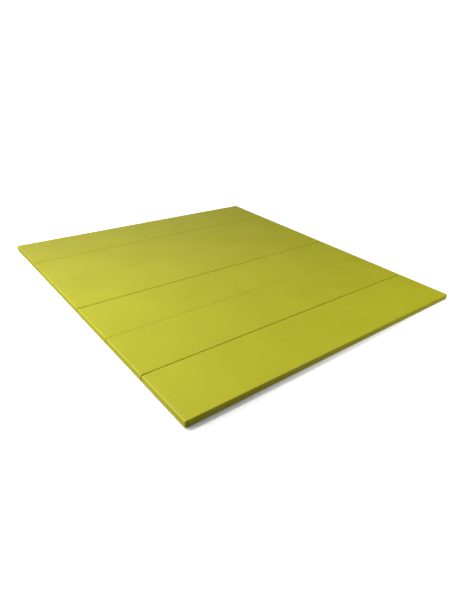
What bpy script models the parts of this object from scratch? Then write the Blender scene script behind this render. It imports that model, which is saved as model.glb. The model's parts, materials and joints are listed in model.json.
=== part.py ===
"""Six-panel folding floor mat: foam boards in coated-fabric sleeves, joined by hinge strips.

Frame: X runs along the panels, Y runs across them from the near edge to the far edge, Z is up.
The origin is the centre of the underside. Panel 1 is the far one (+Y) and panel 6 the near one (-Y).
Odd folds have their hinge strip on the underside and rise when the mat is folded.
Even folds have it on the top side and stay down, so the mat folds up as a zigzag.
"""

import math

import bmesh
import bpy

# Driving dimensions, in metres
MAT_ACROSS = 1.500  # over all the panels, along Y
MAT_ALONG = 1.400  # the length of every panel, along X
MAT_THICK = 0.027
PANEL_COUNT = 6
FOLD_GAP = 0.003  # between the side faces of neighbouring panels
VINYL = 0.0007  # thickness of the coated fabric
CLEAR = 0.0003  # gap kept between pieces that touch
CAP_DEPTH = 0.009  # how far an end cap's rim reaches round onto the panel

# Edge roundings, in metres
END_ROUND = 0.005  # upper and lower edges at the two ends of a panel
CORNER_ROUND = 0.002  # upright edges at a panel's corners beside a fold
OUTER_CORNER_ROUND = 0.005  # upright edges at the four corners of the mat
OUTER_TOP_ROUND = 0.003  # upper long edges on the outside of the mat
OUTER_BOTTOM_ROUND = 0.006  # lower long edges on the outside of the mat
OPEN_ROUND = 0.003  # long edges on the side where a fold gapes
HINGE_ROUND = 0.001  # long edges on the side where a fold is hinged
LEAST_ROUND = 0.0002  # what is left of a rounding that an inner surface has used up
ARC_STEPS = 3  # facets in each rounding

# Hinge strips: doubled fabric, whose seam allowance stands in the gap between two panels
STRIP_DEPTH = 0.011
STRIP_ROUND = 0.0006
STRIP_SHY = 0.0002  # a strip starts this far inside the plane of the faces that it joins
PEAK_AXIS_DROP = 0.0005  # an underside hinge turns about a line this far below the underside

# Worked out from the above
PANEL_ACROSS = (MAT_ACROSS - (PANEL_COUNT - 1) * FOLD_GAP) / PANEL_COUNT
PITCH = PANEL_ACROSS + FOLD_GAP
HALF_ALONG = MAT_ALONG / 2
FOLDS = range(1, PANEL_COUNT)

# Linear colour, roughness and metallic value of each finish
FINISHES = {
    "coated_fabric": ((0.50, 0.49, 0.045), 0.46, 0.0),
    "hinge_fabric": ((0.42, 0.41, 0.035), 0.52, 0.0),
    "foam": ((0.60, 0.61, 0.58), 0.92, 0.0),
}


def clear_scene():
    for old in list(bpy.data.objects):
        bpy.data.objects.remove(old, do_unlink=True)


def finish(object_name, kind):
    """A material of the object's own, in one of the mat's three finishes."""
    color, roughness, metallic = FINISHES[kind]
    material = bpy.data.materials.new(f"{object_name}_{kind}")
    material.use_nodes = True
    shader = material.node_tree.nodes["Principled BSDF"]
    shader.inputs["Base Color"].default_value = (*color, 1.0)
    shader.inputs["Roughness"].default_value = roughness
    shader.inputs["Metallic"].default_value = metallic
    return material


def panel_centre(panel):
    """Y of the middle of a panel."""
    return MAT_ACROSS / 2 - PANEL_ACROSS / 2 - (panel - 1) * PITCH


def fold_line(fold):
    """Y of the middle of the gap between panel `fold` and the next one."""
    return panel_centre(fold) - PITCH / 2


def hinged_on_top(fold):
    return fold % 2 == 0


def edge_rounds(fold):
    """(top, bottom) roundings of the long edges beside a fold, or of an outside edge."""
    if fold not in FOLDS:
        return OUTER_TOP_ROUND, OUTER_BOTTOM_ROUND
    if hinged_on_top(fold):
        return HINGE_ROUND, OPEN_ROUND
    return OPEN_ROUND, HINGE_ROUND


def drawn_in(fold, offset, depth):
    """How far the side beside a fold, or an outer side, is drawn in at a depth from the panel's end."""
    rounding = CORNER_ROUND if fold in FOLDS else OUTER_CORNER_ROUND
    if depth >= rounding:
        return offset
    reach = (rounding - offset) ** 2 - (rounding - depth) ** 2
    return rounding - math.sqrt(max(reach, 0.0))


def outline(panel, offset, depth, shrink_up):
    """Cross-section of a panel in Y and Z at a depth from its end, counter-clockwise seen from +X.

    offset thins the roundings of an inner surface; shrink_up draws in the upper and lower faces.
    """
    near = -PANEL_ACROSS / 2 + drawn_in(panel, offset, depth)
    far = PANEL_ACROSS / 2 - drawn_in(panel - 1, offset, depth)
    low = shrink_up
    high = MAT_THICK - shrink_up
    far_top, far_bottom = edge_rounds(panel - 1)
    near_top, near_bottom = edge_rounds(panel)
    corners = (
        (near, low, 1, 1, near_bottom, 180),
        (far, low, -1, 1, far_bottom, 270),
        (far, high, -1, -1, far_top, 0),
        (near, high, 1, -1, near_top, 90),
    )
    points = []
    for y, z, inward_y, inward_z, rounding, start in corners:
        radius = max(rounding - offset, LEAST_ROUND)
        for step in range(ARC_STEPS + 1):
            angle = math.radians(start + 90 * step / ARC_STEPS)
            points.append(
                (
                    y + inward_y * radius + radius * math.cos(angle),
                    z + inward_z * radius + radius * math.sin(angle),
                )
            )
    return points


def end_stations(offset):
    """(depth from the end, shrink up) down a panel's rounded end, for an inner offset."""
    stations = []
    for step in range(ARC_STEPS + 1):
        angle = math.radians(90 * step / ARC_STEPS)
        depth = END_ROUND - (END_ROUND - offset) * math.cos(angle)
        up = END_ROUND - (END_ROUND - offset) * math.sin(angle)
        stations.append((depth, up))
    return stations


def ring(bm, panel, direction, offset, depth, up):
    """A loop of vertices round a panel at a depth from its left end (direction -1) or right end (+1)."""
    x = direction * (HALF_ALONG - depth)
    return [bm.verts.new((x, y, z)) for y, z in outline(panel, offset, depth, up)]


def skin(bm, rings):
    """Quads between neighbouring rings, facing out when the rings run towards +X."""
    for left, right in zip(rings, rings[1:]):
        count = len(left)
        for i in range(count):
            j = (i + 1) % count
            bm.faces.new((left[i], left[j], right[j], right[i]))


def add_object(name, bm, kind, parent, location):
    mesh = bpy.data.meshes.new(name)
    bm.to_mesh(mesh)
    bm.free()
    mesh.shade_smooth()
    mesh.set_sharp_from_angle(angle=math.radians(40))
    mesh.materials.append(finish(name, kind))
    piece = bpy.data.objects.new(name, mesh)
    piece.parent = parent
    piece.location = [place - origin for place, origin in zip(location, parent["axis_point"])]
    bpy.context.collection.objects.link(piece)
    return piece


def thicken_inwards(piece):
    wall = piece.modifiers.new("Vinyl thickness", "SOLIDIFY")
    wall.thickness = VINYL
    wall.offset = -1.0
    wall.use_even_offset = True


def add_foam_core(panel, pivot):
    """The foam board, rounded like the cover and a little smaller than its inside."""
    offset = VINYL + CLEAR
    stations = end_stations(offset)
    bm = bmesh.new()
    left = [ring(bm, panel, -1, offset, depth, up) for depth, up in stations]
    right = [ring(bm, panel, +1, offset, depth, up) for depth, up in stations]
    rings = left + right[::-1]
    skin(bm, rings)
    bm.faces.new(rings[0][::-1])
    bm.faces.new(rings[-1])
    add_object(f"foam_core_{panel}", bm, "foam", pivot, (0, panel_centre(panel), 0))


def add_sleeve(panel, pivot):
    """The coated fabric wrapped once round the board, open at both ends."""
    bm = bmesh.new()
    skin(bm, [ring(bm, panel, direction, 0, CAP_DEPTH + CLEAR, 0) for direction in (-1, +1)])
    sleeve = add_object(f"sleeve_{panel}", bm, "coated_fabric", pivot, (0, panel_centre(panel), 0))
    thicken_inwards(sleeve)


def add_end_cap(panel, pivot, side, direction):
    """The sewn-in end piece: an end wall whose rounded rim meets the sleeve."""
    stations = end_stations(0) + [(CAP_DEPTH, 0)]
    bm = bmesh.new()
    rings = [ring(bm, panel, direction, 0, depth, up) for depth, up in stations]
    if direction < 0:
        skin(bm, rings)
        bm.faces.new(rings[0][::-1])
    else:
        skin(bm, rings[::-1])
        bm.faces.new(rings[0])
    name = f"{side}_end_cap_{panel}"
    cap = add_object(name, bm, "coated_fabric", pivot, (0, panel_centre(panel), 0))
    thicken_inwards(cap)


def add_hinge_strip(fold, pivot):
    """The strip that two sleeves are sewn to, reaching inwards from the face where they stay joined."""
    middle = STRIP_SHY + STRIP_DEPTH / 2
    if hinged_on_top(fold):
        middle = MAT_THICK - middle
    size = (MAT_ALONG - 2 * END_ROUND, FOLD_GAP - 2 * CLEAR, STRIP_DEPTH)
    bm = bmesh.new()
    bmesh.ops.create_cube(bm, size=1.0)
    bmesh.ops.scale(bm, vec=size, verts=bm.verts)
    bmesh.ops.bevel(bm, geom=bm.edges, offset=STRIP_ROUND, segments=2, profile=0.5, affect="EDGES")
    add_object(f"hinge_strip_{fold}", bm, "hinge_fabric", pivot, (0, fold_line(fold), middle))


def add_pivot(name, parent, axis_point):
    """An empty on the axis that a body turns about; its parent is the body that it turns on."""
    pivot = bpy.data.objects.new(name, None)
    pivot.empty_display_size = 0.05
    pivot["axis_point"] = axis_point
    pivot.parent = parent
    origin = parent["axis_point"] if parent else (0, 0, 0)
    pivot.location = [place - start for place, start in zip(axis_point, origin)]
    bpy.context.collection.objects.link(pivot)
    return pivot


def top_axis(fold, side):
    """A top-side hinge turns about the top edge of the gap: side +1 is its far edge, -1 its near edge."""
    return (0, fold_line(fold) + side * FOLD_GAP / 2, MAT_THICK)


def underside_axis(fold):
    return (0, fold_line(fold), -PEAK_AXIS_DROP)


def main():
    clear_scene()
    root = add_pivot("strip_2_frame", None, (0, fold_line(2), MAT_THICK))
    panel_2 = add_pivot("panel_2_pivot", root, top_axis(2, +1))
    panel_1 = add_pivot("panel_1_pivot", panel_2, underside_axis(1))
    panel_3 = add_pivot("panel_3_pivot", root, top_axis(2, -1))
    panel_4 = add_pivot("panel_4_pivot", panel_3, underside_axis(3))
    strip_4 = add_pivot("strip_4_pivot", panel_4, top_axis(4, +1))
    panel_5 = add_pivot("panel_5_pivot", strip_4, top_axis(4, -1))
    panel_6 = add_pivot("panel_6_pivot", panel_5, underside_axis(5))
    for panel, pivot in enumerate((panel_1, panel_2, panel_3, panel_4, panel_5, panel_6), start=1):
        add_foam_core(panel, pivot)
        add_sleeve(panel, pivot)
        add_end_cap(panel, pivot, "left", -1)
        add_end_cap(panel, pivot, "right", +1)
    for fold, pivot in zip(FOLDS, (panel_2, root, panel_3, strip_4, panel_5)):
        add_hinge_strip(fold, pivot)


main()
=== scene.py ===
"""Looks of the six-panel folding floor mat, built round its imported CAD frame.

Frame: X runs along the panels, Y across them from the near edge to the far edge, Z is up, in metres.
Panel 1 is the far one and panel 6 the near one; fold n lies between panels n and n + 1.
Odd folds are hinged at the underside and gape on top; even folds are hinged on the top side.
"""

import json
import math
import random

import bmesh
import bpy
import numpy as np
from mathutils import Matrix, Vector
from mathutils.bvhtree import BVHTree

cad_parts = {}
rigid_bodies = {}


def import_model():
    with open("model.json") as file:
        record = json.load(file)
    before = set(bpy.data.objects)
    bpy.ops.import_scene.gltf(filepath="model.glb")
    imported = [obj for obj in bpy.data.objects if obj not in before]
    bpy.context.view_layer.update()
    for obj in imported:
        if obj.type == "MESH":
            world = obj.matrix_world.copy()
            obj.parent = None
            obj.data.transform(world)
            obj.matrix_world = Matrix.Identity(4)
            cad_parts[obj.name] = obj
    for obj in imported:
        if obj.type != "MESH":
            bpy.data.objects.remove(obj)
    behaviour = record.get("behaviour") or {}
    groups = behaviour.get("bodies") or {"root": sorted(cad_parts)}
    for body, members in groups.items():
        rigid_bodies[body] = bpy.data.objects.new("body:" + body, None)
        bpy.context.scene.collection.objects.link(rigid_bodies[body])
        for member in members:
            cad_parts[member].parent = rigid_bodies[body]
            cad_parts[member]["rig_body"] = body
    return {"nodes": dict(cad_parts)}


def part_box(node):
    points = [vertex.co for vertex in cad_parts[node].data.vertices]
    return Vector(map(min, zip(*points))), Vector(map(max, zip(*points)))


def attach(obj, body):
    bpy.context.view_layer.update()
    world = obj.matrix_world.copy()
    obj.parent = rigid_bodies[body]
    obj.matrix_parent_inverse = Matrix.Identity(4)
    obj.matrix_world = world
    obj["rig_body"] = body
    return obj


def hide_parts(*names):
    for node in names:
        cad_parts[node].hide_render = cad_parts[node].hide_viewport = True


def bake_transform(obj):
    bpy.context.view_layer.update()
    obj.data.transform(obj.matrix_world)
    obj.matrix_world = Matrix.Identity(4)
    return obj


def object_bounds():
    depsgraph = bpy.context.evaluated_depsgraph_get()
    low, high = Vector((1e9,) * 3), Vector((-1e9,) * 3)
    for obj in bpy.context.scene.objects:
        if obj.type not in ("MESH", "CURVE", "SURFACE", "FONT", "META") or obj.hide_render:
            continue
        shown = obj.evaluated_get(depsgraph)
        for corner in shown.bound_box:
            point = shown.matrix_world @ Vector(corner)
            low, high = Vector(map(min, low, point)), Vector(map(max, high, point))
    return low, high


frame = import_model()
CAD_LOW, CAD_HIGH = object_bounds()

PANELS = range(1, 7)
FOLDS = range(1, 6)

# Sizes read from the frame
HALF_ALONG = CAD_HIGH.x
THICK = CAD_HIGH.z
CAP_DEPTH = HALF_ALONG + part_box("left_end_cap_1")[1].x  # from an end wall to the seam of its end cap
FOLD_Y = {n: (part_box(f"sleeve_{n}")[0].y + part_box(f"sleeve_{n + 1}")[1].y) / 2 for n in FOLDS}
HALF_GAP = FOLD_Y[1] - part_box("sleeve_2")[1].y

# Roundings of a panel's cover
END_ROUND = 0.005  # upper and lower edges of an end
CORNER_ROUND = 0.002  # upright edges of an end beside a fold
OUTER_CORNER_ROUND = 0.005  # upright edges at the mat's four corners
OUTER_TOP_ROUND = 0.003  # upper long edges on the outside of the mat
OUTER_BOTTOM_ROUND = 0.006  # lower long edges on the outside of the mat
OPEN_ROUND = 0.003  # long edges where a fold gapes
HINGE_ROUND = 0.001  # long edges where a fold is hinged

# How finely a cover is divided
HALF_ARC = 2  # segments in half of a rounded edge
END_STEPS = 4
UP_CELLS = 4
ALONG_CELLS = 112  # even cells between the graded ones near the two ends
ACROSS_CELLS = 32
SEAM_DEPTHS = (0.0065, 0.0080, 0.0090, 0.0100, 0.0115, 0.0140, 0.0180, 0.0230, 0.0290)
EDGE_DEPTHS = (0.0, 0.0012, 0.0024, 0.0036, 0.0060, 0.0100, 0.0150)
STITCH_DEPTH = EDGE_DEPTHS[2]  # a hinge seam's stitching, from where the edge's rounding ends
SHARP_FROM = math.radians(50)  # edges that turn further than this aren't smoothed

# Cloth simulation of the cover over its board
SIM_FRAMES = 20
SIM_PRESSURE = 4.0
SIM_LOOSENESS = 0.012  # how much larger the fabric is than the flat form
SIM_START_NOISE = 0.0002
SWELL_SHARE = 0.05  # the foam board holds the fabric, so this share of the free swelling is kept
SWELL_CAP = 0.0012

# Seams of the end caps
SEAM_GROOVE = 0.0007
SEAM_WIDTH = 0.0011
WELT_HEIGHT = 0.00022
WELT_PLACE = 0.0026  # from the seam to the middle of the raised line on each side of it
PUCKER_HEIGHT = 0.00030
PUCKER_LENGTHS = (0.012, 0.030)  # shortest and longest wave of the puckers
DRAPE_LENGTHS = (0.030, 0.070)  # and of the longer waves under them
DRAPE_SHARE = 0.6
PUCKER_REACH = 0.010  # how far the puckers reach from the seam onto the sleeve
CAP_PUCKER_REACH = 0.004  # and onto the end cap
SLACK_PANEL = 5  # this panel's left end is sewn more loosely than the others
SLACK_HEIGHT = 2.8  # how many times higher its puckers are
SLACK_REACH = 0.016  # and how far they reach onto its end cap
OTHER_FACE_SHIFT = 1.7  # keeps the puckers of the top and the underside apart
SPLIT_GAP = 0.00005  # from the seam's middle to the fabric on each side
WALL = 0.0003  # from the bottom of the seam groove to the fabric's inner face
CHANNEL_DEEP = 0.00025  # the sunk line that a hinge seam's stitching lies in
CHANNEL_WIDTH = 0.0009
FACING_UP = 0.9  # least upright share of a normal on a flat face

# How far the upper edges beside each gaping fold lean into the gap, at the left end and at the right one
FOLD_CLOSING = {1: (0.0005, 0.0009), 3: (0.0005, 0.0006), 5: (0.0009, -0.0008)}
FOLD_WAVER = 0.00025
WAVER_LENGTHS = (0.35, 1.3)  # shortest and longest wave of the wavering, in half lengths of the mat
CLOSING_START = 0.030  # the leaning grows over this length from an end seam
CLOSING_ABOVE = 0.012  # and from this height, clear of the hinge strip in the gap

# Stitches
THREAD = 0.00055  # diameter
STITCH_PITCH = 0.0042
STITCH_LONG = 0.0031
STITCH_SIDES = 6
STITCH_STEPS = 4
STITCH_RISE = 0.15  # of a thread's diameter, from the fabric to the middle of the stitch
STITCH_DIP = 0.85  # of a thread's diameter, by which the ends lie lower than the middle
STITCH_TURN = 0.07  # radians by which a stitch may lie askew
END_STITCH_DEPTH = CAP_DEPTH + 0.0030
SEARCH_FROM = 0.002  # how far outside the cover the search for its surface begins
PRESSED_FLAT = -0.0002  # how low the stitches under the mat reach

# Hinges: in the gap of each fold a doubled seam allowance, the fin, and webs that join it to the covers
WEB_REACH = 0.0008  # how far a web's edge is tucked into a cover's rounding
WEB_THICK = 0.0006
WEB_SHY = 0.0002  # a web on the underside lies this far inside the faces that it joins
WEB_FLUSH = {2: 0.00009, 4: 0.00045}  # the same for a web on the top side
WEB_SAG = 0.00008
WEB_STEPS = 8
PLY_SLIT = 0.0004  # between the two plies
PLY_SEWN = 0.25  # share of a fin's depth in which the plies are sewn together
PLY_WAVE = 0.00012
PLY_SOFT = 0.3  # share of a ply's thickness that is rounded off at its cut edge
LEAN_LENGTHS = (0.06, 0.25)  # shortest and longest wave of a fin's leaning
APART_LENGTHS = (0.03, 0.11)  # of how far its plies stand apart
RAGGED_LENGTHS = (0.02, 0.07)  # and of its cut edge
CUT_WAVE = 0.00035
FIN_STEPS = 140


def hinged_on_top(fold):
    return fold % 2 == 0


def edge_rounds(fold):
    """(top, bottom) roundings of the long edges beside a fold, or of an outside edge."""
    if fold not in FOLDS:
        return OUTER_TOP_ROUND, OUTER_BOTTOM_ROUND
    if hinged_on_top(fold):
        return HINGE_ROUND, OPEN_ROUND
    return OPEN_ROUND, HINGE_ROUND


def graded(low, high, depths, cells):
    """Stations from low to high: the given depths from each end, and even cells between them."""
    middle = np.linspace(low + depths[-1], high - depths[-1], cells + 1)[1:-1]
    first = [low + d for d in depths]
    last = [high - d for d in reversed(depths)]
    return np.array([*first, *middle, *last])


def arc(centre, radius, start):
    """Points of a quarter circle in Y and Z, counter-clockwise from start degrees."""
    angles = np.radians(start + 90 * np.arange(2 * HALF_ARC + 1) / (2 * HALF_ARC))
    return np.stack([centre[0] + radius * np.cos(angles), centre[1] + radius * np.sin(angles)], axis=1)


def line(a, b, stations):
    """Points from a to b at the stations' shares, without the two ends."""
    shares = (stations[1:-1] - stations[0]) / (stations[-1] - stations[0])
    return a + shares[:, None] * (b - a)


def drawn_in(fold, depth):
    """How far the side beside a fold, or an outer side, is drawn in at a depth from the panel's end."""
    rounding = CORNER_ROUND if fold in FOLDS else OUTER_CORNER_ROUND
    return rounding - math.sqrt(rounding**2 - max(rounding - depth, 0) ** 2)


def outline(panel, depth, up):
    """A panel's cross-section in Y and Z at a depth from its end, from the near bottom edge's first point."""
    low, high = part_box(f"sleeve_{panel}")
    near, far = low.y + drawn_in(panel, depth), high.y - drawn_in(panel - 1, depth)
    bottom, top = up, THICK - up
    far_top, far_bottom = edge_rounds(panel - 1)
    near_top, near_bottom = edge_rounds(panel)
    corners = [
        arc((near + near_bottom, bottom + near_bottom), near_bottom, 180),
        arc((far - far_bottom, bottom + far_bottom), far_bottom, 270),
        arc((far - far_top, top - far_top), far_top, 0),
        arc((near + near_top, top - near_top), near_top, 90),
    ]
    height = np.linspace(0, 1, UP_CELLS + 1)
    parts = []
    for i, corner in enumerate(corners):
        following = corners[(i + 1) % 4]
        if i % 2:
            stations = height
        else:
            stations = graded(0, abs(following[0][0] - corner[-1][0]), EDGE_DEPTHS, ACROSS_CELLS)
        parts += [corner, line(corner[-1], following[0], stations)]
    return np.concatenate(parts)


def rings_along():
    """(x, depth from the end, up) of every ring of a panel, from the left end to the right one."""
    ends = []
    for step in range(END_STEPS + 1):
        angle = math.radians(90 * step / END_STEPS)
        depth = END_ROUND * (1 - math.cos(angle))
        up = END_ROUND * (1 - math.sin(angle))
        ends.append((depth, up))
    between = graded(-HALF_ALONG, HALF_ALONG, SEAM_DEPTHS, ALONG_CELLS)
    middle = [(x, HALF_ALONG - abs(x), 0.0) for x in between]
    left = [(-HALF_ALONG + depth, depth, up) for depth, up in ends]
    right = [(HALF_ALONG - depth, depth, up) for depth, up in reversed(ends)]
    return left + middle + right


class Layout:
    """Where the points of a cover's rings and end walls are in its mesh."""

    def __init__(self, panel):
        self.rings = rings_along()
        self.loops = [outline(panel, depth, up) for _, depth, up in self.rings]
        self.count = len(self.loops[0])
        self.cells_up = UP_CELLS + 2 * HALF_ARC
        self.cells_across = self.count // 2 - self.cells_up

    def edge_indices(self):
        """Index in a ring of the middle of each of the four long edges."""
        first = HALF_ARC
        second = first + self.cells_across
        third = second + self.cells_up
        return first, second, third, third + self.cells_across

    def wall(self, ring):
        """{(j, k): index in the ring} round an end wall, j from near to far and k from bottom to top."""
        near_bottom, far_bottom, _, near_top = self.edge_indices()
        base = ring * self.count
        at = {}
        for j in range(self.cells_across + 1):
            at[j, 0] = base + near_bottom + j
            at[j, self.cells_up] = base + near_top - j
        for k in range(self.cells_up + 1):
            at[self.cells_across, k] = base + far_bottom + k
            at[0, k] = base + (near_bottom - k) % self.count
        return at


def cover_mesh(panel):
    """The closed, still flat form of a panel's cover."""
    layout = Layout(panel)
    count = layout.count
    vertices = [(x, y, z) for (x, _, _), loop in zip(layout.rings, layout.loops) for y, z in loop]
    faces = []
    for i in range(len(layout.rings) - 1):
        for j in range(count):
            k = (j + 1) % count
            a, b = i * count, (i + 1) * count
            faces.append((a + j, a + k, b + k, b + j))
    for ring, faces_left in ((0, True), (len(layout.rings) - 1, False)):
        at = layout.wall(ring)
        wide, high = layout.cells_across, layout.cells_up
        for j in range(1, wide):
            below, above = np.array(vertices[at[j, 0]]), np.array(vertices[at[j, high]])
            for k in range(1, high):
                at[j, k] = len(vertices)
                vertices.append(tuple(below + (above - below) * k / high))
        for j in range(wide):
            for k in range(high):
                quad = (at[j, k], at[j + 1, k], at[j + 1, k + 1], at[j, k + 1])
                faces.append(quad[::-1] if faces_left else quad)
    mesh = bpy.data.meshes.new(f"cover_{panel}")
    mesh.from_pydata(vertices, [], faces)
    return mesh, layout


def add_object(name, mesh):
    piece = bpy.data.objects.new(name, mesh)
    bpy.context.scene.collection.objects.link(piece)
    return piece


def points_of(mesh):
    co = np.empty(len(mesh.vertices) * 3, np.float32)
    mesh.vertices.foreach_get("co", co)
    return co.reshape(-1, 3).astype(float)


def set_points(mesh, points):
    mesh.vertices.foreach_set("co", points.astype(np.float32).ravel())
    mesh.update()


def normals_of(mesh):
    out = np.empty(len(mesh.vertices) * 3, np.float32)
    mesh.vertex_normals.foreach_get("vector", out)
    return out.reshape(-1, 3).astype(float)


def evaluated_points(piece):
    evaluated = piece.evaluated_get(bpy.context.evaluated_depsgraph_get())
    made = evaluated.to_mesh()
    points = points_of(made)
    evaluated.to_mesh_clear()
    return points


def held_points(layout, total):
    """The points that the seams and the board's edges hold: end caps, end seams and long edges."""
    held = set(range(len(layout.rings) * layout.count, total))
    for i, (x, _, _) in enumerate(layout.rings):
        at_end = HALF_ALONG - abs(x) < CAP_DEPTH + SPLIT_GAP
        for j in range(layout.count) if at_end else layout.edge_indices():
            held.add(i * layout.count + j)
    return sorted(held)


def swell(panel, mesh, layout):
    """Loosens the cover's fabric over its board with a cloth simulation, and keeps a small share of it."""
    flat = points_of(mesh)
    noise = np.random.default_rng(panel).normal(0, SIM_START_NOISE, flat.shape)
    held = held_points(layout, len(flat))
    noise[held] = 0
    set_points(mesh, flat + noise)
    piece = add_object("swelling", mesh)
    piece.vertex_groups.new(name="held").add(held, 1.0, "REPLACE")
    cloth = piece.modifiers.new("Cloth", "CLOTH")
    settings = cloth.settings
    settings.use_pressure = True
    settings.uniform_pressure_force = SIM_PRESSURE
    settings.shrink_min = -SIM_LOOSENESS
    settings.vertex_group_mass = "held"
    settings.effector_weights.gravity = 0
    cloth.collision_settings.use_collision = False
    cloth.point_cache.frame_start = 1
    cloth.point_cache.frame_end = SIM_FRAMES
    for step in range(1, SIM_FRAMES + 1):
        bpy.context.scene.frame_set(step)
    moved = np.clip((evaluated_points(piece) - flat) * SWELL_SHARE, -SWELL_CAP, SWELL_CAP)
    bpy.context.scene.frame_set(1)
    bpy.data.objects.remove(piece)
    settled = flat + moved
    settled[:, 2] = np.maximum(settled[:, 2], 0.0)  # flat where it rests on the floor
    set_points(mesh, settled)


def subdivided(mesh):
    """The mesh after one level of subdivision, as a new mesh."""
    piece = add_object("smoothing", mesh)
    piece.modifiers.new("Smooth", "SUBSURF").levels = 1
    made = bpy.data.meshes.new_from_object(piece.evaluated_get(bpy.context.evaluated_depsgraph_get()))
    bpy.data.objects.remove(piece)
    return made


def ripple(chance, along, shortest, longest):
    """A random smooth wave, from -1 to 1, along a line."""
    total = np.zeros_like(along)
    for _ in range(5):
        wavelength = chance.uniform(shortest, longest)
        total += np.sin(2 * math.pi * (along / wavelength + chance.random()))
    return total / 5


def lean_into_gaps(panel, points, normals, away, chance):
    """Moves the upper part of a panel's sides a little into or away from the gaps of gaping folds."""
    along = points[:, 0] / HALF_ALONG
    for fold, facing in ((panel - 1, 1), (panel, -1)):
        if fold not in FOLD_CLOSING:
            continue
        lean = np.interp(along, (-1, 1), FOLD_CLOSING[fold])
        lean += FOLD_WAVER * ripple(chance, along, *WAVER_LENGTHS)
        share = np.clip((points[:, 2] - CLOSING_ABOVE) / (THICK - CLOSING_ABOVE), 0, 1)
        share *= np.clip(away / CLOSING_START, 0, 1)
        points[:, 1] += facing * lean * share * np.clip(facing * normals[:, 1], 0, 1)


def sew(panel, mesh):
    """Sinks the end seams and hinge seams into the cover, with welts and puckers beside the end seams."""
    points, normals = points_of(mesh), normals_of(mesh)
    low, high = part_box(f"sleeve_{panel}")
    chance = random.Random(100 + panel)
    depth = HALF_ALONG - np.abs(points[:, 0])
    away = depth - CAP_DEPTH
    raise_by = -SEAM_GROOVE * np.exp(-((away / SEAM_WIDTH) ** 2))
    raise_by += WELT_HEIGHT * np.exp(-(((np.abs(away) - WELT_PLACE) / SEAM_WIDTH) ** 2))
    round_it = points[:, 1] + np.where(points[:, 2] > THICK / 2, OTHER_FACE_SHIFT, 0) + points[:, 2]
    for side in (-1, 1):
        slack = panel == SLACK_PANEL and side < 0
        height = PUCKER_HEIGHT * (SLACK_HEIGHT if slack else 1)
        cap_reach = SLACK_REACH if slack else CAP_PUCKER_REACH
        wave = ripple(chance, round_it, *PUCKER_LENGTHS)
        wave += DRAPE_SHARE * ripple(chance, round_it, *DRAPE_LENGTHS)
        fading = np.where(away > 0, np.exp(-away / PUCKER_REACH), np.clip(1 + away / cap_reach, 0, 1))
        raise_by += np.where(points[:, 0] * side > 0, height * wave * fading, 0)
    for fold, edge in ((panel - 1, high.y), (panel, low.y)):
        if fold not in FOLDS:
            continue
        on_side = points[:, 2] > THICK / 2 if hinged_on_top(fold) else points[:, 2] < THICK / 2
        inside = np.abs(points[:, 1] - edge) - HINGE_ROUND - STITCH_DEPTH
        channel = -CHANNEL_DEEP * np.exp(-((inside / CHANNEL_WIDTH) ** 2)) * on_side
        raise_by += np.where((depth > CAP_DEPTH) & (np.abs(normals[:, 2]) > FACING_UP), channel, 0)
    raise_by = np.maximum(raise_by, -SEAM_GROOVE)  # no fold reaches down to the foam board
    points += normals * raise_by[:, None]
    lean_into_gaps(panel, points, normals, away, chance)
    points[:, 2] = np.maximum(points[:, 2], 0.0)
    set_points(mesh, points)


def loop_from(edges):
    """The vertices of a closed chain of edges, in order, counter-clockwise seen from +X."""
    edge = edges[0]
    start = vertex = edge.verts[0]
    left = set(edges)
    loop = []
    while True:
        loop.append(vertex)
        left.discard(edge)
        vertex = edge.other_vert(vertex)
        if vertex is start:
            break
        edge = next(e for e in vertex.link_edges if e in left)
    area = sum(a.co.y * b.co.z - b.co.y * a.co.z for a, b in zip(loop, loop[1:] + loop[:1]))
    loop = loop if area > 0 else loop[::-1]
    first = min(range(len(loop)), key=lambda i: loop[i].co.y + 2 * loop[i].co.z)
    return loop[first:] + loop[:first]


def inward(loop, by):
    """(y, z) of each vertex of a loop moved into it."""
    places = []
    for before, here, after in zip(loop[-1:] + loop[:-1], loop, loop[1:] + loop[:1]):
        run = (after.co - before.co).yz.normalized()
        places.append((here.co.y - run.y * by, here.co.z + run.x * by))
    return places


def bridge(bm, left, right):
    """Quads between two loops of the same number of vertices."""
    count = len(left)
    for i in range(count):
        j = (i + 1) % count
        bm.faces.new((left[i], right[i], right[j], left[j]))


def cut(mesh, planes):
    """A bmesh of the part of a cover that lies between the planes, (x, which way is kept)."""
    bm = bmesh.new()
    bm.from_mesh(mesh)
    for x, kept in planes:
        bmesh.ops.bisect_plane(
            bm,
            geom=bm.verts[:] + bm.edges[:] + bm.faces[:],
            plane_co=(x, 0, 0),
            plane_no=(-kept, 0, 0),
            clear_outer=True,
        )
    return bm


def open_loops(bm):
    """The open rims of a bmesh, the one with the lowest x first."""
    edges = [e for e in bm.edges if e.is_boundary]
    sides = {}
    for e in edges:
        sides.setdefault(e.verts[0].co.x > 0, []).append(e)
    return [loop_from(sides[side]) for side in sorted(sides)]


def sleeve_form(mesh):
    """The sleeve: the cover between its two end seams, as a wall of fabric open at both ends."""
    seam = HALF_ALONG - CAP_DEPTH - SPLIT_GAP
    bm = cut(mesh, ((-seam, 1), (seam, -1)))
    left, right = open_loops(bm)
    inner_left = [bm.verts.new((-seam, y, z)) for y, z in inward(left, WALL)]
    inner_right = [bm.verts.new((seam, y, z)) for y, z in inward(right, WALL)]
    bridge(bm, inner_left, left)
    bridge(bm, right, inner_right)
    bridge(bm, inner_left, inner_right)
    return bm


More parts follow.
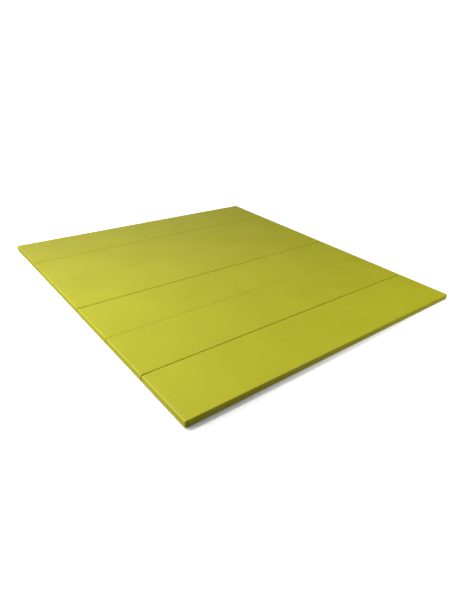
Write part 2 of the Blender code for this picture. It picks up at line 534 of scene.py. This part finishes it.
def cap_form(panel, mesh, side):
    """An end cap: the cover outside an end seam, as a cup of fabric."""
    seam = HALF_ALONG - CAP_DEPTH + SPLIT_GAP
    bm = cut(mesh, ((side * seam, side),))
    (rim,) = open_loops(bm)
    loops = [rim]
    inside = inward(rim, WALL)
    near, far = min(y for y, _ in inside), max(y for y, _ in inside)
    middle = THICK / 2
    for depth in (CAP_DEPTH - SPLIT_GAP, END_ROUND, END_ROUND / 2, END_ROUND / 4):
        rise = END_ROUND - math.sqrt(END_ROUND**2 - (END_ROUND - depth) ** 2) if depth < END_ROUND else 0
        squeeze = 1 - (rise + WALL) / middle if depth < CAP_DEPTH - SPLIT_GAP else 1
        x = side * (HALF_ALONG - depth)
        start = near + drawn_in(panel, depth)
        narrowing = (far - drawn_in(panel - 1, depth) - start) / (far - near)
        loop = []
        for y, z in inside:
            loop.append(bm.verts.new((x, start + (y - near) * narrowing, middle + (z - middle) * squeeze)))
        loops.append(loop)
    for a, b in zip(loops, loops[1:]):
        bridge(bm, a, b)
    bm.faces.new(loops[-1])
    return bm


def add_piece(name, bm, material):
    """A smooth object from a closed bmesh, with its faces pointing out."""
    bmesh.ops.recalc_face_normals(bm, faces=bm.faces)
    mesh = bpy.data.meshes.new(name)
    bm.to_mesh(mesh)
    bm.free()
    mesh.shade_smooth()
    mesh.set_sharp_from_angle(angle=SHARP_FROM)
    mesh.materials.append(material)
    piece = add_object(name, mesh)
    return piece


def add_cover_piece(name, bm, vinyl, panel, cad_node):
    piece = add_piece(name, bm, vinyl)
    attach(piece, f"panel_{panel}")
    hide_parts(cad_node)


def build_covers(vinyl):
    """A sleeve and two end caps for every panel; returns each panel's sewn form for the stitches."""
    forms = {}
    for panel in PANELS:
        flat, layout = cover_mesh(panel)
        swell(panel, flat, layout)
        mesh = subdivided(flat)
        sew(panel, mesh)
        forms[panel] = mesh
        add_cover_piece(f"cover_{panel}", sleeve_form(mesh), vinyl, panel, f"sleeve_{panel}")
        for side, word in ((-1, "left"), (1, "right")):
            cap = cap_form(panel, mesh, side)
            add_cover_piece(f"{word}_end_{panel}", cap, vinyl, panel, f"{word}_end_cap_{panel}")
    return forms


def stitch_form():
    """(points, faces) of one stitch along X whose ends dip into the fabric."""
    points, faces = [], []
    for step in range(STITCH_STEPS + 1):
        share = 2 * step / STITCH_STEPS - 1
        rise = THREAD * (STITCH_RISE - STITCH_DIP * share**4)
        for side in range(STITCH_SIDES):
            angle = 2 * math.pi * side / STITCH_SIDES
            across, up = math.cos(angle) * THREAD / 2, math.sin(angle) * THREAD / 2
            points.append((share * STITCH_LONG / 2, across, rise + up))
    for step in range(STITCH_STEPS):
        a, b = step * STITCH_SIDES, (step + 1) * STITCH_SIDES
        for side in range(STITCH_SIDES):
            after = (side + 1) % STITCH_SIDES
            faces.append((a + side, a + after, b + after, b + side))
    faces.append(tuple(range(STITCH_SIDES))[::-1])
    faces.append(tuple(STITCH_STEPS * STITCH_SIDES + side for side in range(STITCH_SIDES)))
    return np.array(points), np.array(faces[:-2]), faces[-2:]


def paced(path, closed):
    """Evenly spaced points on a path of (point, outward direction) pairs, with their directions."""
    spots = path + path[:1] if closed else path
    places = np.array([place for place, _ in spots])
    outwards = np.array([outward for _, outward in spots])
    run = np.concatenate([[0], np.cumsum(np.linalg.norm(np.diff(places, axis=0), axis=1))])
    count = round(run[-1] / STITCH_PITCH)
    at = (np.arange(count) + 0.5) * run[-1] / count
    place = np.stack([np.interp(at, run, places[:, k]) for k in range(3)], axis=1)
    outward = np.stack([np.interp(at, run, outwards[:, k]) for k in range(3)], axis=1)
    ahead = np.stack([np.interp(at + STITCH_LONG / 4, run, places[:, k]) for k in range(3)], axis=1)
    behind = np.stack([np.interp(at - STITCH_LONG / 4, run, places[:, k]) for k in range(3)], axis=1)
    return place, outward, ahead - behind


def end_seam_path(panel, x):
    """The way round a panel at one x, as (point, outward direction) pairs."""
    loop = outline(panel, END_STITCH_DEPTH, 0)
    path = []
    for before, here, after in zip(np.roll(loop, 1, axis=0), loop, np.roll(loop, -1, axis=0)):
        run = (after - before) / np.linalg.norm(after - before)
        path.append(((x, *here), (0, run[1], -run[0])))
    return path


def hinge_seam_path(y, up):
    """A straight path along the panels on the top side (up is 1) or the underside (up is -1)."""
    reach = HALF_ALONG - END_STITCH_DEPTH - STITCH_PITCH
    z = THICK if up > 0 else 0
    return [((-reach, y, z), (0, 0, up)), ((reach, y, z), (0, 0, up))]


def seam_paths(panel):
    """Every stitched line of a panel, with whether it is closed."""
    low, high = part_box(f"sleeve_{panel}")
    for side in (-1, 1):
        yield end_seam_path(panel, side * (HALF_ALONG - END_STITCH_DEPTH)), True
    inside = HINGE_ROUND + STITCH_DEPTH
    for fold, y in ((panel - 1, high.y - inside), (panel, low.y + inside)):
        if fold in FOLDS:
            yield hinge_seam_path(y, 1 if hinged_on_top(fold) else -1), False


def build_stitches(panel, form, thread):
    """The topstitching of one panel, laid on its sewn cover."""
    tree = BVHTree.FromPolygons([v.co for v in form.vertices], [f.vertices[:] for f in form.polygons])
    shape, sides, caps = stitch_form()
    chance = random.Random(200 + panel)
    points, faces = [], []
    for path, closed in seam_paths(panel):
        for place, outward, run in zip(*paced(path, closed)):
            found, normal, _, _ = tree.ray_cast(Vector(place + outward * SEARCH_FROM), Vector(-outward))
            if found is None:
                continue
            along = Vector(run)
            along = (along - normal * along.dot(normal)).normalized()
            along = Matrix.Rotation(chance.uniform(-STITCH_TURN, STITCH_TURN), 3, normal) @ along
            across = normal.cross(along)
            base = len(points) * len(shape)
            axes = np.array([along, across, normal])
            points.append(np.array(found) + shape @ axes)
            faces += (sides + base).tolist() + [[base + i for i in cap] for cap in caps]
    points = np.concatenate(points)
    points[:, 2] = np.maximum(points[:, 2], PRESSED_FLAT)
    mesh = bpy.data.meshes.new(f"stitches_{panel}")
    mesh.from_pydata(points.tolist(), [], faces)
    mesh.shade_smooth()
    mesh.materials.append(thread)
    piece = add_object(f"stitches_{panel}", mesh)
    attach(piece, f"panel_{panel}")


def loft(name, sections, material):
    """A closed form through cross-sections, each a list of points that runs the same way round."""
    bm = bmesh.new()
    loops = [[bm.verts.new(point) for point in section] for section in sections]
    for a, b in zip(loops, loops[1:]):
        bridge(bm, a, b)
    bm.faces.new(loops[0])
    bm.faces.new(loops[-1])
    return add_piece(name, bm, material)


def ply_section(half, foot, slit, tip):
    """(y, z, how far up the free part, which ply) round a doubled seam allowance that stands on its foot."""
    inner = PLY_SLIT / 2
    soft = (half - inner) * PLY_SOFT
    rise = tip - slit
    return [
        (-half, foot, 0, 0),
        (half, foot, 0, 0),
        (half, slit, 0, 0),
        (half, slit + rise / 2, 0.5, 1),
        (half, tip - soft, 1, 1),
        (half - soft, tip, 1, 1),
        (inner + soft, tip, 1, 1),
        (inner, tip - soft, 1, 1),
        (inner, slit + rise / 2, 0.5, 1),
        (inner, slit, 0, 0),
        (-inner, slit, 0, 0),
        (-inner, slit + rise / 2, 0.5, -1),
        (-inner, tip - soft, 1, -1),
        (-inner - soft, tip, 1, -1),
        (-half + soft, tip, 1, -1),
        (-half, tip - soft, 1, -1),
        (-half, slit + rise / 2, 0.5, -1),
        (-half, slit, 0, 0),
    ]


def build_fin(fold, fabric):
    """The doubled seam allowance in a fold's gap."""
    low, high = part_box(f"hinge_strip_{fold}")
    deep = high.z - low.z
    foot = WEB_SHY + WEB_THICK / 2
    section = ply_section((high.y - low.y) / 2, foot, foot + deep * PLY_SEWN, foot + deep - WEB_THICK)
    chance = random.Random(300 + fold)
    x = np.linspace(low.x, high.x, FIN_STEPS + 1)
    lean = ripple(chance, x, *LEAN_LENGTHS)
    apart = ripple(chance, x, *APART_LENGTHS)
    ragged = ripple(chance, x, *RAGGED_LENGTHS)
    sections = []
    for i, station in enumerate(x):
        loop = []
        for y, z, free, ply in section:
            y += free * PLY_WAVE * (lean[i] + 0.5 * ply * apart[i])
            z += CUT_WAVE * ragged[i] if free == 1 else 0
            loop.append((station, FOLD_Y[fold] + y, THICK - z if hinged_on_top(fold) else z))
        sections.append(loop)
    fin = loft(f"hinge_fin_{fold}", sections, fabric)
    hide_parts(f"hinge_strip_{fold}")
    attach(fin, frame["nodes"][f"hinge_strip_{fold}"]["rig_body"])


def build_web(name, fold, near, far, vinyl):
    """A band of cover fabric from y near to y far on a fold's hinge side."""
    low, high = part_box(f"hinge_strip_{fold}")
    shy = WEB_FLUSH.get(fold, WEB_SHY)
    ys = np.linspace(near, far, WEB_STEPS + 1)
    sag = WEB_SAG * np.sin(math.pi * np.arange(WEB_STEPS + 1) / WEB_STEPS)
    outer = [(y, shy + dip) for y, dip in zip(ys, sag)]
    inner = [(y, shy + dip + WEB_THICK) for y, dip in zip(ys[::-1], sag[::-1])]
    sections = []
    for x in np.linspace(low.x, high.x, FIN_STEPS + 1):
        sections.append([(x, y, THICK - z if hinged_on_top(fold) else z) for y, z in outer + inner])
    web = loft(name, sections, vinyl)
    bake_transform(web)


def build_hinges(vinyl, fabric):
    """The fins and webs of all folds; a top fold has one web for each of its two hinges."""
    reach = HALF_GAP + WEB_REACH
    for fold in FOLDS:
        build_fin(fold, fabric)
        y = FOLD_Y[fold]
        far_panel, near_panel = f"panel_{fold}", f"panel_{fold + 1}"
        if not hinged_on_top(fold):
            build_web(f"hinge_web_{fold}", fold, y - reach, y + reach, vinyl)
            continue
        for word, side, panel in (("far", 1, far_panel), ("near", -1, near_panel)):
            name = f"hinge_web_{fold}_{word}"
            build_web(name, fold, y, y + side * reach, vinyl)


# Materials

# Linear colours
LIME = (0.500, 0.482, 0.016)
LIGHT_LIME = (0.535, 0.520, 0.022)
# painted shade for the creases of the vinyl's grain
CREASE_SHADE_LIME = (0.36, 0.35, 0.010)
# painted highlight for the vinyl's lighter flecks
HIGHLIGHT_LIME = (0.60, 0.59, 0.06)
BACKING = (0.38, 0.37, 0.022)
LIGHT_BACKING = (0.44, 0.43, 0.032)
WEAVE_SHADE = (0.24, 0.235, 0.012)
THREAD_SHADE = (0.36, 0.35, 0.018)
THREAD_LIGHT = (0.60, 0.585, 0.050)
FOAM_GREY = (0.57, 0.58, 0.55)
LIGHT_FOAM = (0.64, 0.65, 0.62)
# painted shade for the pits of the foam's cells
PIT_SHADE_GREY = (0.40, 0.41, 0.38)


class Finish:
    """A material whose colour, roughness and bump come from procedural textures in object space."""

    def __init__(self, name, roughness_range, specular):
        self.material = bpy.data.materials.new(name)
        self.material.use_nodes = True
        self.nodes = self.material.node_tree.nodes
        self.links = self.material.node_tree.links
        self.shader = self.nodes["Principled BSDF"]
        self.shader.inputs["Specular IOR Level"].default_value = specular
        self.place = self.nodes.new("ShaderNodeTexCoord").outputs["Object"]
        self.height = None
        low, high = roughness_range
        patches = self.spread(self.noise(scale=9.0, detail=3.0), low=low, high=high)
        self.links.new(patches, self.shader.inputs["Roughness"])

    def stretched(self, scales):
        mapping = self.nodes.new("ShaderNodeMapping")
        mapping.inputs["Scale"].default_value = scales
        self.links.new(self.place, mapping.inputs["Vector"])
        return mapping.outputs["Vector"]

    def noise(self, scale, detail, vector=None):
        node = self.nodes.new("ShaderNodeTexNoise")
        node.inputs["Scale"].default_value = scale
        node.inputs["Detail"].default_value = detail
        self.links.new(vector or self.place, node.inputs["Vector"])
        return node.outputs["Fac"]

    def cells(self, scale):
        node = self.nodes.new("ShaderNodeTexVoronoi")
        node.inputs["Scale"].default_value = scale
        self.links.new(self.place, node.inputs["Vector"])
        return node.outputs["Distance"]

    def waves(self, scale, direction):
        node = self.nodes.new("ShaderNodeTexWave")
        node.bands_direction = direction
        node.inputs["Scale"].default_value = scale
        self.links.new(self.place, node.inputs["Vector"])
        return node.outputs["Fac"]

    def spread(self, value, low, high, start=0.3, end=0.7):
        """The value's range from start to end, stretched to run from low to high."""
        node = self.nodes.new("ShaderNodeMapRange")
        node.inputs["From Min"].default_value = start
        node.inputs["From Max"].default_value = end
        node.inputs["To Min"].default_value = low
        node.inputs["To Max"].default_value = high
        self.links.new(value, node.inputs["Value"])
        return node.outputs["Result"]

    def multiplied(self, a, b):
        node = self.nodes.new("ShaderNodeMath")
        node.operation = "MULTIPLY"
        self.links.new(a, node.inputs[0])
        self.links.new(b, node.inputs[1])
        return node.outputs["Value"]

    def blend_colours(self, share, a, b):
        """Colour a where the share is 0 and colour b where it is 1; each is a tuple or a node's output."""
        node = self.nodes.new("ShaderNodeMix")
        node.data_type = "RGBA"
        self.links.new(share, node.inputs["Factor"])
        for socket, value in ((node.inputs[6], a), (node.inputs[7], b)):
            if isinstance(value, tuple):
                socket.default_value = (*value, 1.0)
            else:
                self.links.new(value, socket)
        return node.outputs[2]

    def colour(self, value):
        self.links.new(value, self.shader.inputs["Base Color"])

    def bump(self, height, distance, strength):
        """Adds a layer of relief under the ones already there."""
        node = self.nodes.new("ShaderNodeBump")
        node.inputs["Distance"].default_value = distance
        node.inputs["Strength"].default_value = strength
        self.links.new(height, node.inputs["Height"])
        if self.height:
            self.links.new(self.height, node.inputs["Normal"])
        self.height = node.outputs["Normal"]
        self.links.new(self.height, self.shader.inputs["Normal"])


def make_vinyl():
    """Coated fabric: lime vinyl with a fine leather grain whose creases are darkened with painted shade,
    faint clouding, and lighter flecks of painted highlight scattered at random.
    """
    finish = Finish("vinyl", roughness_range=(0.38, 0.50), specular=0.25)
    clouds = finish.spread(finish.noise(scale=4.5, detail=4.0), low=0.0, high=1.0, start=0.32, end=0.68)
    body = finish.blend_colours(clouds, LIME, LIGHT_LIME)
    grain = finish.cells(scale=620.0)
    # painted shade: the grain's creases, towards the edges of its cells, are darkened in the colour
    crease_shade = finish.spread(grain, low=0.0, high=0.10, start=0.15, end=0.75)
    crease_shaded = finish.blend_colours(crease_shade, body, CREASE_SHADE_LIME)
    # painted highlight: lighter flecks scattered at random by noise, not tied to any high spots
    highlight_flecks = finish.spread(finish.noise(scale=90.0, detail=6.0), low=0.0, high=0.14, start=0.42, end=0.75)
    finish.colour(finish.blend_colours(highlight_flecks, crease_shaded, HIGHLIGHT_LIME))
    finish.bump(finish.noise(scale=14.0, detail=3.0), distance=0.0012, strength=0.35)
    finish.bump(grain, distance=0.00010, strength=0.30)
    finish.bump(finish.noise(scale=1500.0, detail=2.0), distance=0.00004, strength=0.25)
    return finish.material


def make_hinge_fabric():
    """The same vinyl's backing side: a darker, duller fabric with a plain weave."""
    finish = Finish("hinge_fabric", roughness_range=(0.50, 0.62), specular=0.20)
    across = finish.waves(scale=360.0, direction="X")
    along = finish.waves(scale=360.0, direction="Y")
    weave = finish.multiplied(across, along)
    clouds = finish.spread(finish.noise(scale=11.0, detail=4.0), low=0.0, high=1.0)
    body = finish.blend_colours(clouds, BACKING, LIGHT_BACKING)
    raised = finish.spread(weave, low=0.0, high=0.3, start=0.0, end=1.0)
    finish.colour(finish.blend_colours(raised, body, WEAVE_SHADE))
    finish.bump(weave, distance=0.00012, strength=0.4)
    return finish.material


def make_thread():
    """Twisted polyester thread in the cover's colour."""
    finish = Finish("thread", roughness_range=(0.45, 0.60), specular=0.30)
    twist = finish.noise(scale=1.0, detail=1.0, vector=finish.stretched((1800.0, 900.0, 900.0)))
    finish.colour(finish.blend_colours(finish.spread(twist, low=0.0, high=1.0), THREAD_SHADE, THREAD_LIGHT))
    finish.bump(twist, distance=0.00008, strength=0.5)
    return finish.material


def make_foam():
    """Closed-cell foam: pale grey with fine cells whose pits are darkened with painted shade, and a skin that
    varies in tone.
    """
    finish = Finish("foam_cells", roughness_range=(0.85, 0.97), specular=0.15)
    clouds = finish.spread(finish.noise(scale=8.0, detail=4.0), low=0.0, high=1.0)
    tone = finish.blend_colours(clouds, FOAM_GREY, LIGHT_FOAM)
    cells = finish.cells(scale=750.0)
    # painted shade: darker in the middle of each cell, where its pit lies
    pit_shade = finish.spread(cells, low=0.45, high=0.0, start=0.0, end=0.35)
    finish.colour(finish.blend_colours(pit_shade, tone, PIT_SHADE_GREY))
    finish.bump(cells, distance=0.0004, strength=0.5)
    return finish.material


def paint_foam_boards():
    """The CAD foam boards stay, inside the covers."""
    foam = make_foam()
    for panel in PANELS:
        frame["nodes"][f"foam_core_{panel}"].material_slots[0].material = foam


# Stage, camera and lights

CAMERA_AZIMUTH = math.radians(-39.8)
CAMERA_ELEVATION = math.radians(28.0)
CAMERA_ROLL = math.radians(3.4)
CAMERA_DISTANCE = 1.9275
CAMERA_TARGET = Vector((-0.1485, -0.24, THICK))
LENS_MM = 28.0
SENSOR_MM = 36.0
FLOOR_REACH = 40.0  # half its side
FLOOR_DROP = 0.0004  # below the mat
FLOOR_SHOWN = 1.2  # how white the floor is to the camera, as in an overexposed picture
FLOOR_BOUNCED = 0.25  # and to everything else, so that it doesn't light the mat from below
GLOW_CENTRE = (-0.65, -0.80, 0.0)  # the floor shows its shadow here, and washes out with distance
GLOW_START, GLOW_END = 0.15, 2.2  # how far from there its glow begins, and where it is strongest
GLOW_MOST = 0.8
WORLD_SHOWN = 1.05  # strength that the camera sees
WORLD_BRIGHT = Vector((-0.35, 0.65, 0.67)).normalized()  # the direction that the studio is brightest in
WORLD_DARK_COSINE = 0.3  # light falls to nothing this far round from the bright direction
WORLD_MOST = 1.13  # strength in the bright direction

# Name, place, target, size and watts of each lamp
LAMPS = (
    ("key_light", (-1.20, 0.17, 1.50), (-0.3, -0.1, 0.0), (0.32, 0.32), 14.6),
    ("left_light", (-2.60, 0.20, 0.70), (-0.7, 0.0, 0.0), (1.40, 0.80), 22.8),
    ("front_light", (0.95, -1.77, 0.83), (0.45, -0.75, 0.0), (0.80, 0.50), 11.0),
)


def add_camera():
    back = Vector(
        (
            math.sin(CAMERA_AZIMUTH) * math.cos(CAMERA_ELEVATION),
            -math.cos(CAMERA_AZIMUTH) * math.cos(CAMERA_ELEVATION),
            math.sin(CAMERA_ELEVATION),
        )
    )
    right = Vector((0, 0, 1)).cross(back).normalized()
    above = back.cross(right)
    turn = Matrix((right, above, back)).transposed() @ Matrix.Rotation(CAMERA_ROLL, 3, "Z")
    data = bpy.data.cameras.new("camera")
    data.lens = LENS_MM
    data.sensor_width = SENSOR_MM
    camera = bpy.data.objects.new("camera", data)
    camera.matrix_world = Matrix.Translation(CAMERA_TARGET + back * CAMERA_DISTANCE) @ turn.to_4x4()
    bpy.context.scene.collection.objects.link(camera)
    bpy.context.scene.camera = camera


def add_floor():
    """A plain white floor, whose shadow by the mat's near edge is all that it shows of itself."""
    bm = bmesh.new()
    bmesh.ops.create_grid(bm, x_segments=1, y_segments=1, size=FLOOR_REACH)
    mesh = bpy.data.meshes.new("floor")
    bm.to_mesh(mesh)
    bm.free()
    material = bpy.data.materials.new("floor")
    material.use_nodes = True
    nodes, links = material.node_tree.nodes, material.node_tree.links
    nodes.remove(nodes["Principled BSDF"])
    shown = nodes.new("ShaderNodeBsdfDiffuse")
    shown.inputs["Color"].default_value = (FLOOR_SHOWN, FLOOR_SHOWN, FLOOR_SHOWN, 1)
    bounced = nodes.new("ShaderNodeBsdfDiffuse")
    bounced.inputs["Color"].default_value = (FLOOR_BOUNCED, FLOOR_BOUNCED, FLOOR_BOUNCED, 1)
    place = nodes.new("ShaderNodeTexCoord")
    away = nodes.new("ShaderNodeVectorMath")
    away.operation = "DISTANCE"
    away.inputs[1].default_value = GLOW_CENTRE
    fading = nodes.new("ShaderNodeMapRange")
    fading.inputs["From Min"].default_value = GLOW_START
    fading.inputs["From Max"].default_value = GLOW_END
    fading.inputs["To Max"].default_value = GLOW_MOST
    glow = nodes.new("ShaderNodeEmission")
    added = nodes.new("ShaderNodeAddShader")
    path = nodes.new("ShaderNodeLightPath")
    mixed = nodes.new("ShaderNodeMixShader")
    links.new(place.outputs["Object"], away.inputs[0])
    links.new(away.outputs["Value"], fading.inputs["Value"])
    links.new(fading.outputs["Result"], glow.inputs["Strength"])
    links.new(shown.outputs["BSDF"], added.inputs[0])
    links.new(glow.outputs["Emission"], added.inputs[1])
    links.new(path.outputs["Is Camera Ray"], mixed.inputs["Fac"])
    links.new(bounced.outputs["BSDF"], mixed.inputs[1])
    links.new(added.outputs["Shader"], mixed.inputs[2])
    links.new(mixed.outputs["Shader"], nodes["Material Output"].inputs["Surface"])
    mesh.materials.append(material)
    floor = add_object("floor", mesh)
    floor.location.z = -FLOOR_DROP


def add_lamp(name, place, target, size, watts):
    data = bpy.data.lights.new(name, "AREA")
    data.shape = "RECTANGLE"
    data.size, data.size_y = size
    data.energy = watts
    lamp = bpy.data.objects.new(name, data)
    lamp.location = place
    lamp.rotation_mode = "QUATERNION"
    lamp.rotation_quaternion = (Vector(target) - Vector(place)).to_track_quat("-Z", "Y")
    lamp.visible_camera = False
    bpy.context.scene.collection.objects.link(lamp)


def add_world():
    """Soft white light that is brightest behind the mat; the camera sees plain white."""
    world = bpy.data.worlds.new("studio")
    world.use_nodes = True
    nodes, links = world.node_tree.nodes, world.node_tree.links
    background = nodes["Background"]
    background.inputs["Color"].default_value = (1, 1, 1, 1)
    coordinates = nodes.new("ShaderNodeTexCoord")
    facing = nodes.new("ShaderNodeVectorMath")
    facing.operation = "DOT_PRODUCT"
    facing.inputs[1].default_value = WORLD_BRIGHT
    spread = nodes.new("ShaderNodeMapRange")
    spread.inputs["From Min"].default_value = WORLD_DARK_COSINE
    spread.inputs["To Max"].default_value = WORLD_MOST
    path = nodes.new("ShaderNodeLightPath")
    seen = nodes.new("ShaderNodeMix")
    seen.inputs["B"].default_value = WORLD_SHOWN
    links.new(coordinates.outputs["Generated"], facing.inputs[0])
    links.new(facing.outputs["Value"], spread.inputs["Value"])
    links.new(spread.outputs["Result"], seen.inputs["A"])
    links.new(path.outputs["Is Camera Ray"], seen.inputs["Factor"])
    links.new(seen.outputs["Result"], background.inputs["Strength"])
    bpy.context.scene.world = world


def add_stage():
    add_camera()
    add_floor()
    add_world()
    for lamp in LAMPS:
        add_lamp(*lamp)
    bpy.context.scene.view_settings.view_transform = "Standard"


vinyl = make_vinyl()
thread = make_thread()
for panel, form in build_covers(vinyl).items():
    build_stitches(panel, form, thread)
build_hinges(vinyl, make_hinge_fabric())
paint_foam_boards()
add_stage()
